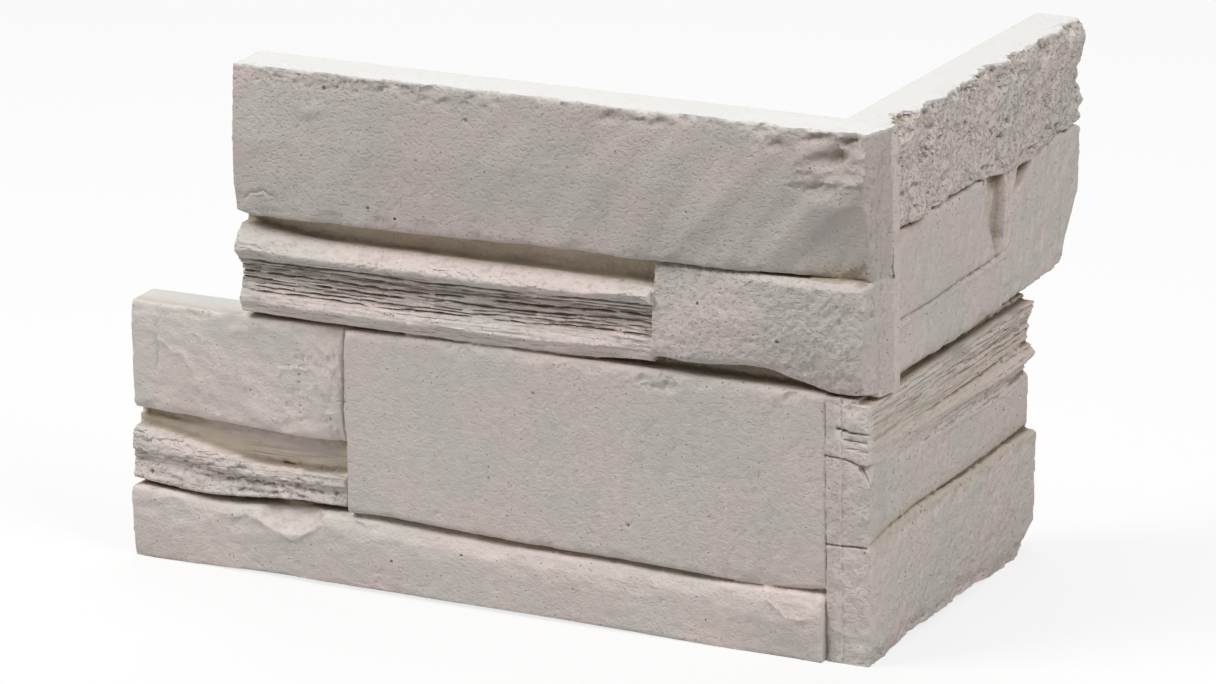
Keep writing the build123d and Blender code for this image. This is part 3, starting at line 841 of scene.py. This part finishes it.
def mark_faces(piece):
    """Stores at each point of the casting what the material needs to know.

    A recess is deep set beside what is 10 mm round it and a pit beside what is 1.5 mm round
    it; recesses are painted darker with cream, partly paste and partly painted shade. Layered and
    stained are a place's shares of thin layers and of brown dust, each stone gets painted light
    and shade for how its face tilts to the lamps, rough is how pecked its stone is, and the flat
    faces are marked for a painted highlight.
    """
    points = read_points(piece)
    height = points[:, 2]
    marks = {name: np.zeros(len(points)) for name in MARKS}
    marks["painted_shade"] += 1
    marks["painted_flat_highlight"] += 1
    for leg in LEGS:
        out = points[:, leg.out_axis] * leg.out_sign
        run = points[:, leg.run_axis]
        # Hollows are looked for on the show face, clear of its outer edges
        shown = (run > leg.first) & (run < leg.last) & (height > 0.5) & (height < 201.0)
        near = np.nonzero(shown & (out > 5.0))[0]
        places = points[near][:, (leg.run_axis, 2)]
        depth = out[near]
        wide = local_mean(places, depth, 1.0, 10) - depth
        fine = local_mean(places, depth, 0.5, 3) - depth
        # Recesses are painted darker with cream, partly paste and partly painted shade
        raise_marks(marks["recess"], near, smoothstep(0.8, 4.5, wide))
        raise_marks(marks["pit"], near, smoothstep(0.15, 0.7, fine))
        for line, share, reach in leg.cream:
            away = np.abs(line_distance(places, line))
            raise_marks(marks["recess"], near, share * (1 - smoothstep(0, reach, away)))
        for name, areas in (("layered", leg.layered), ("stained", leg.stained)):
            for area, share in areas:
                raise_marks(marks[name], near, share * inside(places, *area, 3.0))

        # All but the flat head, backs and ends belongs to a stone; those flat faces take a painted
        # highlight
        faced = np.nonzero((out > 4.0) & (height < 201.2))[0]
        marks["painted_flat_highlight"][faced] = 0.0
        places = points[faced][:, (leg.run_axis, 2)]
        # Each stone's painted light and shade, standing in for its face's tilt, and how pecked it is
        for name, areas in (("painted_shade", leg.painted_shades), ("rough", leg.rough)):
            for area, value in areas:
                # Marks meet over 5 mm in the top row, and over a joint's 1 mm elsewhere
                soft = 5.0 if area[3] == ABOVE else 1.0
                marks[name][faced] += inside(places, *area, soft) * (value - marks[name][faced])
    for name, values in marks.items():
        piece.data.attributes.new(name, "FLOAT", "POINT").data.foreach_set("value", values)


def add_node(tree, kind, inputs, output=0, **settings):
    """Adds a shader node with its properties, its inputs' values or links, and gives an output."""
    made = tree.nodes.new(kind)
    for name, value in settings.items():
        setattr(made, name, value)
    for name, value in inputs.items():
        if isinstance(value, bpy.types.NodeSocket):
            tree.links.new(value, made.inputs[name])
        else:
            made.inputs[name].default_value = value
    return made.outputs[output]


def cast_stone(settings):
    """Cast stone: white cement and marble sand poured in a mould.

    It is matt and sandy. Its colour drifts between a pinkish and a cooler grey, each stone carries
    painted light and shade for how its face tilts to the lamps, and the flat faces a painted
    highlight in a whiter, neutral colour. Recesses are painted darker with cream, partly paste and
    partly painted shade.
    Air bubbles, and the pits, pecks and cracks of the rough stones, hold brown dust.
    """
    material = bpy.data.materials.new("white_cast_stone")
    material.use_nodes = True
    tree = material.node_tree
    shader = tree.nodes["Principled BSDF"]
    places = add_node(tree, "ShaderNodeTexCoord", {}, "Object")
    found = {
        name: add_node(tree, "ShaderNodeAttribute", {}, "Fac", attribute_name=name)
        for name in MARKS
    }

    # Noises: grain in millimetres along each axis, and detail. The sand's own grit is about
    # 0.4 mm, and is drawn twice as coarse so that it shows
    for name, size, detail in (
        ("drift", (34, 34, 26), 1.0), ("mottle", (5, 5, 3.5), 2.0), ("grit", (0.9, 0.9, 0.7), 1.0),
        ("seams", (26, 26, 1.0), 1.0), ("pecks", (1.45, 1.45, 1.3), 1.5),
    ):
        scale = [1 / (each * MM) for each in size]
        grains = add_node(tree, "ShaderNodeVectorMath", {0: places, 1: scale}, operation="MULTIPLY")
        found[name] = add_node(tree, "ShaderNodeTexNoise", {
            "Vector": grains, "Scale": 1.0, "Detail": detail,
        })

    # Shares that rise to 1 from a least one, between two values of a noise
    for name, source, low, high, least in (
        ("cool", "drift", 0.40, 0.60, 0.0), ("mottled", "mottle", 0.35, 0.65, 0.94),
        ("crowd", "mottle", 0.47, 0.56, 0.0), ("seam", "seams", 0.46, 0.36, 0.0),
        ("peck", "pecks", 0.46, 0.32, 0.0),
    ):
        found[name] = add_node(tree, "ShaderNodeMapRange", {
            "Value": found[source], "From Min": low, "From Max": high, "To Min": least,
        })

    # Round dots, one to each cell of a pitch, with a radius, of which a share is kept
    for name, pitch, radius, kept in (("bubbles", 7.0, 0.42, 0.3), ("specks", 2.1, 0.42, 0.5)):
        away = add_node(tree, "ShaderNodeTexVoronoi", {
            "Vector": places, "Scale": 1 / (pitch * MM),
        }, "Distance")
        near = add_node(tree, "ShaderNodeMapRange", {
            "Value": away, "From Min": radius / pitch, "From Max": 0.5 * radius / pitch,
        })
        pick = add_node(tree, "ShaderNodeSeparateColor", {"Color": away.node.outputs["Color"]})
        picked = add_node(tree, "ShaderNodeMath", {0: pick, 1: kept}, operation="LESS_THAN")
        found[name] = add_node(tree, "ShaderNodeMath", {0: near, 1: picked}, operation="MULTIPLY")

    # What each mark comes to, worked out in turn. Of the dusty marks, the dirtiest counts
    for name, operation, first, second in (
        ("cracked", "MULTIPLY", "seam", "layered"),
        ("crowded", "MULTIPLY", "specks", "crowd"),
        ("pecked", "MULTIPLY", "peck", "rough"),
        ("dusty", "ADD", "stained", 0.25),
        ("dark_specks", "MULTIPLY", "crowded", "dusty"),
        ("dark_specks", "MULTIPLY", "dark_specks", 1.1),
        ("dark_cracks", "MULTIPLY", "cracked", 0.75),
        ("dark_pecks", "MULTIPLY", "pecked", 0.2),
        ("dirt", "MULTIPLY", "pit", "stained"),
        ("dirt", "MAXIMUM", "dirt", "dark_cracks"),
        ("dirt", "MAXIMUM", "dirt", "dark_specks"),
        ("dirt", "MAXIMUM", "dirt", "dark_pecks"),
        ("dirt", "MULTIPLY", "dirt", 0.8),
        # Cream paste and painted shade in recesses
        ("paste_and_shade", "MULTIPLY", "recess", 0.85),
        ("dark_bubbles", "MULTIPLY", "bubbles", 0.75),
    ):
        found[name] = add_node(tree, "ShaderNodeMath", {
            0: found[first], 1: found.get(second, second),
        }, operation=operation)

    # Layers of colour over the stone's own: share, colour and blend
    base = (*settings.stone, 1)
    for share, colour, blend in (
        (found["cool"], (*settings.cool, 1), "MIX"),
        (1.0, found["mottled"], "MULTIPLY"),
        # Recesses painted darker and warmer: cream paste and painted shade
        (found["paste_and_shade"], (*settings.cream, 1), "MIX"),
        # Painted light and shade of each stone, for how its face tilts to the lamps
        (1.0, found["painted_shade"], "MULTIPLY"),
        (found["dirt"], (*settings.dust, 1), "MIX"),
        (found["dark_bubbles"], (*settings.dust, 1), "MIX"),
        # Painted highlight: the flat faces turn a whiter, neutral colour
        (found["painted_flat_highlight"], (*settings.white, 1), "MIX"),
    ):
        base = add_node(
            tree, "ShaderNodeMix", {0: share, 6: base, 7: colour}, 2,
            data_type="RGBA", blend_type=blend,
        )
    tree.links.new(base, shader.inputs["Base Color"])

    # Relief finer than the mesh, in millimetres: grit and pecked stone stand up, marks sink in
    relief = 0.0
    for name, height in (
        ("grit", 0.2), ("pecks", 0.14), ("pecked", -0.42), ("crowded", -0.25),
        ("cracked", -0.35), ("bubbles", -0.5),
    ):
        relief = add_node(tree, "ShaderNodeMath", {
            0: found[name], 1: height, 2: relief,
        }, operation="MULTIPLY_ADD")
    bump = add_node(tree, "ShaderNodeBump", {"Strength": 1.0, "Distance": MM, "Height": relief})
    tree.links.new(bump, shader.inputs["Normal"])
    shader.inputs["Roughness"].default_value = 0.9
    shader.inputs["Specular IOR Level"].default_value = 0.25
    return material


WHITE = (1, 1, 1, 1)


def white_paint():
    """Matt white studio paint: pale to the camera, and greyer where it throws light back."""
    material = bpy.data.materials.new("white_backdrop_paint")
    material.use_nodes = True
    tree = material.node_tree
    tree.nodes.remove(tree.nodes["Principled BSDF"])
    grey = add_node(tree, "ShaderNodeBsdfDiffuse", {"Color": (*rgb("#BDBDBD"), 1)})
    white = add_node(tree, "ShaderNodeBsdfDiffuse", {"Color": (*rgb("#F4F4F4"), 1)})
    glow = add_node(tree, "ShaderNodeEmission", {"Color": WHITE, "Strength": 1.0})
    seen = add_node(tree, "ShaderNodeMixShader", {0: 0.78, 1: white, 2: glow})
    camera_ray = add_node(tree, "ShaderNodeLightPath", {}, "Is Camera Ray")
    mix = add_node(tree, "ShaderNodeMixShader", {0: camera_ray, 1: grey, 2: seen})
    tree.links.new(mix, tree.nodes["Material Output"].inputs["Surface"])
    return material


def white_surroundings(strength):
    """A world that is white to the camera and lights the piece from all sides."""
    world = bpy.data.worlds.new("white_surroundings")
    world.use_nodes = True
    tree = world.node_tree
    room = tree.nodes["Background"]
    room.inputs["Color"].default_value = WHITE
    room.inputs["Strength"].default_value = strength
    white = add_node(tree, "ShaderNodeBackground", {"Color": WHITE, "Strength": 1.0})
    camera_ray = add_node(tree, "ShaderNodeLightPath", {}, "Is Camera Ray")
    mix = add_node(tree, "ShaderNodeMixShader", {0: camera_ray, 1: room.outputs[0], 2: white})
    tree.links.new(mix, tree.nodes["World Output"].inputs["Surface"])
    return world


# Edges flatter than this are shaded smooth
SMOOTH_ANGLE = math.radians(50)


class STONE_OT_casting(bpy.types.Operator):
    """Makes the casting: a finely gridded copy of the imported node, carved as riven stone"""

    bl_idname = "stone.casting"
    bl_label = "Casting"

    def execute(self, context):
        settings = context.scene.cladding_stone
        piece = copy_of_node(NODE, "casting")
        grid = settings.grid * 1
        apply_modifier(piece, "REMESH", mode="VOXEL", voxel_size=grid)
        carve(piece)
        triangles = 2 * len(piece.data.polygons)
        apply_modifier(piece, "DECIMATE", ratio=min(1.0, settings.triangles / triangles))
        write_points(piece, keep_in_box(read_points(piece)))
        active_alone(piece)
        bpy.ops.object.shade_smooth_by_angle(angle=SMOOTH_ANGLE)
        mark_faces(piece)
        piece.data.materials.clear()
        piece.data.materials.append(cast_stone(settings))
        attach(piece, "root")
        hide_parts(NODE)
        return {"FINISHED"}


# The photograph's view: a long lens, just above the piece and to the right of its corner
CAMERA_PLACE = Vector((1.0164, -2.1651, 0.8441))
CAMERA_AZIMUTH = math.radians(27.254)
CAMERA_ELEVATION = math.radians(16.883)
CAMERA_ROLL = math.radians(-0.893)
CAMERA_LENS = 201.84
SENSOR = 36.0
FLOOR_RADIUS = 6.0

# The studio lamps: name, place, size, power and colour. They hang high, so that the top faces
# are palest and the riven faces take their shade from their own relief. All aim at one place
LIT = (-0.1, 0.0, 0.1)
WARM_WHITE = rgb("#FFFBF9")
COOL_WHITE = rgb("#FBFEFF")
LAMPS = (
    ("overhead", (-0.1, -0.1, 2.2), 1.0, 5, COOL_WHITE),
    ("high_left", (-1.3, -1.0, 1.8), 1.0, 30.5, WARM_WHITE),
    ("high_right", (1.5, -0.5, 1.7), 1.0, 25, WARM_WHITE),
    ("high_back", (-0.4, 0.9, 2.0), 1.2, 17, COOL_WHITE),
)
ROOM_LIGHT = 0.03


def area_light(name, place, target, size, power, colour):
    """A soft square lamp at a place, aimed at a target."""
    bpy.ops.object.light_add(type="AREA", location=place)
    lamp = bpy.context.object
    lamp.name = name
    lamp.data.shape = "SQUARE"
    lamp.data.size = size
    lamp.data.energy = power
    lamp.data.color = colour
    lamp.rotation_euler = (Vector(target) - Vector(place)).to_track_quat("-Z", "Y").to_euler()


class STONE_OT_stage(bpy.types.Operator):
    """Sets up the floor, the lamps, the white surroundings and the camera"""

    bl_idname = "stone.stage"
    bl_label = "Stage"

    def execute(self, context):
        scene = context.scene
        bpy.ops.object.select_all(action="DESELECT")
        bpy.ops.mesh.primitive_circle_add(
            vertices=96, radius=FLOOR_RADIUS, fill_type="NGON",
        )
        floor = context.object
        floor.name = floor.data.name = "floor"
        floor.data.materials.append(white_paint())

        for name, place, size, power, colour in LAMPS:
            area_light(name, place, LIT, size, power, colour)
        scene.world = white_surroundings(ROOM_LIGHT)

        bpy.ops.object.camera_add()
        camera = context.object
        camera.name = "camera"
        camera.data.sensor_width = SENSOR
        camera.data.lens = CAMERA_LENS
        camera.data.clip_end = 50
        back = Vector((
            math.sin(CAMERA_AZIMUTH) * math.cos(CAMERA_ELEVATION),
            -math.cos(CAMERA_AZIMUTH) * math.cos(CAMERA_ELEVATION),
            math.sin(CAMERA_ELEVATION),
        ))
        right = Vector((math.cos(CAMERA_AZIMUTH), math.sin(CAMERA_AZIMUTH), 0))
        up = back.cross(right)
        across = right * math.cos(CAMERA_ROLL) + up * math.sin(CAMERA_ROLL)
        upright = up * math.cos(CAMERA_ROLL) - right * math.sin(CAMERA_ROLL)
        turn = Matrix((across, upright, back)).transposed()
        camera.matrix_world = Matrix.Translation(CAMERA_PLACE) @ turn.to_4x4()
        scene.camera = camera
        scene.view_settings.view_transform = "Standard"
        return {"FINISHED"}


class STONE_PT_panel(bpy.types.Panel):
    """Lists the steps that make the piece and its stage."""

    bl_label = "Stone Cladding Corner"
    bl_space_type = "VIEW_3D"
    bl_region_type = "UI"
    bl_category = "Cladding"

    def draw(self, context):
        layout = self.layout
        settings = context.scene.cladding_stone
        for name in ("grid", "triangles", "stone", "cool", "white", "cream", "dust"):
            layout.prop(settings, name)
        layout.operator("stone.casting")
        layout.operator("stone.stage")


CLASSES = (STONE_PG_settings, STONE_OT_casting, STONE_OT_stage, STONE_PT_panel)


def register():
    for cls in CLASSES:
        bpy.utils.register_class(cls)
    bpy.types.Scene.cladding_stone = PointerProperty(type=STONE_PG_settings)


def unregister():
    del bpy.types.Scene.cladding_stone
    for cls in reversed(CLASSES):
        bpy.utils.unregister_class(cls)


def main():
    register()
    bpy.ops.stone.casting()
    bpy.ops.stone.stage()


if __name__ == "__main__":
    main()
